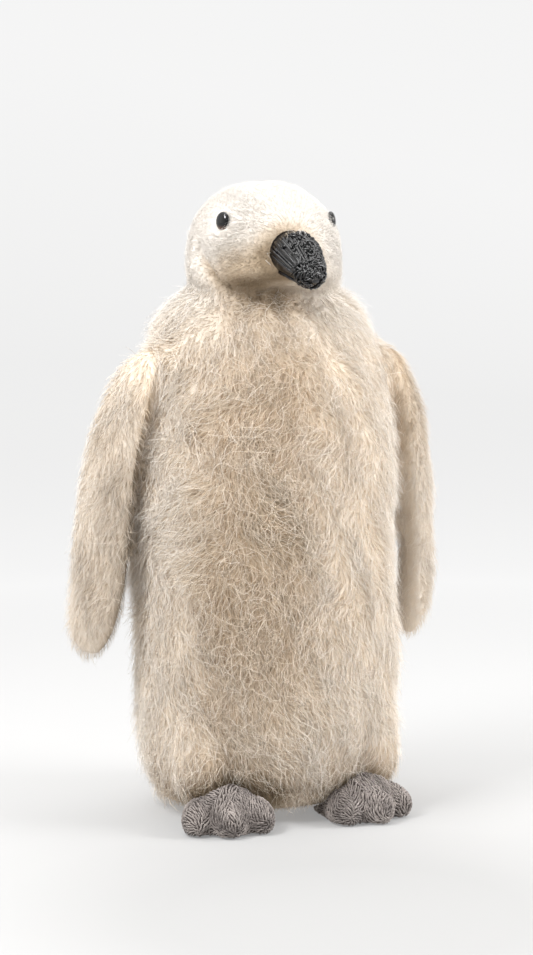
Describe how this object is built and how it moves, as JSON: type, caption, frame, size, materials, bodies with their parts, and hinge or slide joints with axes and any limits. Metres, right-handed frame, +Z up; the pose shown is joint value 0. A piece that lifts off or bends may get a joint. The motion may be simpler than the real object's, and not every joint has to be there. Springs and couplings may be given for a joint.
{
  "type": "stuffed toy penguin chick",
  "caption": "Standing stuffed toy penguin chick in long cream pile, with hanging wings, a black wound bill, bead eyes and knitted three-toed feet.",
  "frame": {"origin": "on the floor, under the middle of the bounding box", "axes": "+Z up, -Y the way the chick faces, +X its own left"},
  "size_m": [0.1852, 0.134, 0.3004],
  "materials": {
    "cream_pile": "long soft mohair pile, tan at the roots and cream at the tips",
    "taupe_knit": "fine two-tone grey-brown knit",
    "black_winding": "black waxed thread, laid lengthwise, with a soft gloss",
    "black_bead": "polished"
  },
  "bodies": {
    "root": {"trunk": "cream_pile", "neck": "cream_pile", "head": "cream_pile", "tail": "cream_pile", "wing_left": "cream_pile", "wing_right": "cream_pile", "foot_left": "taupe_knit", "foot_right": "taupe_knit", "bill": "black_winding", "eye_left": "black_bead", "eye_right": "black_bead"}
  },
  "joints": []
}
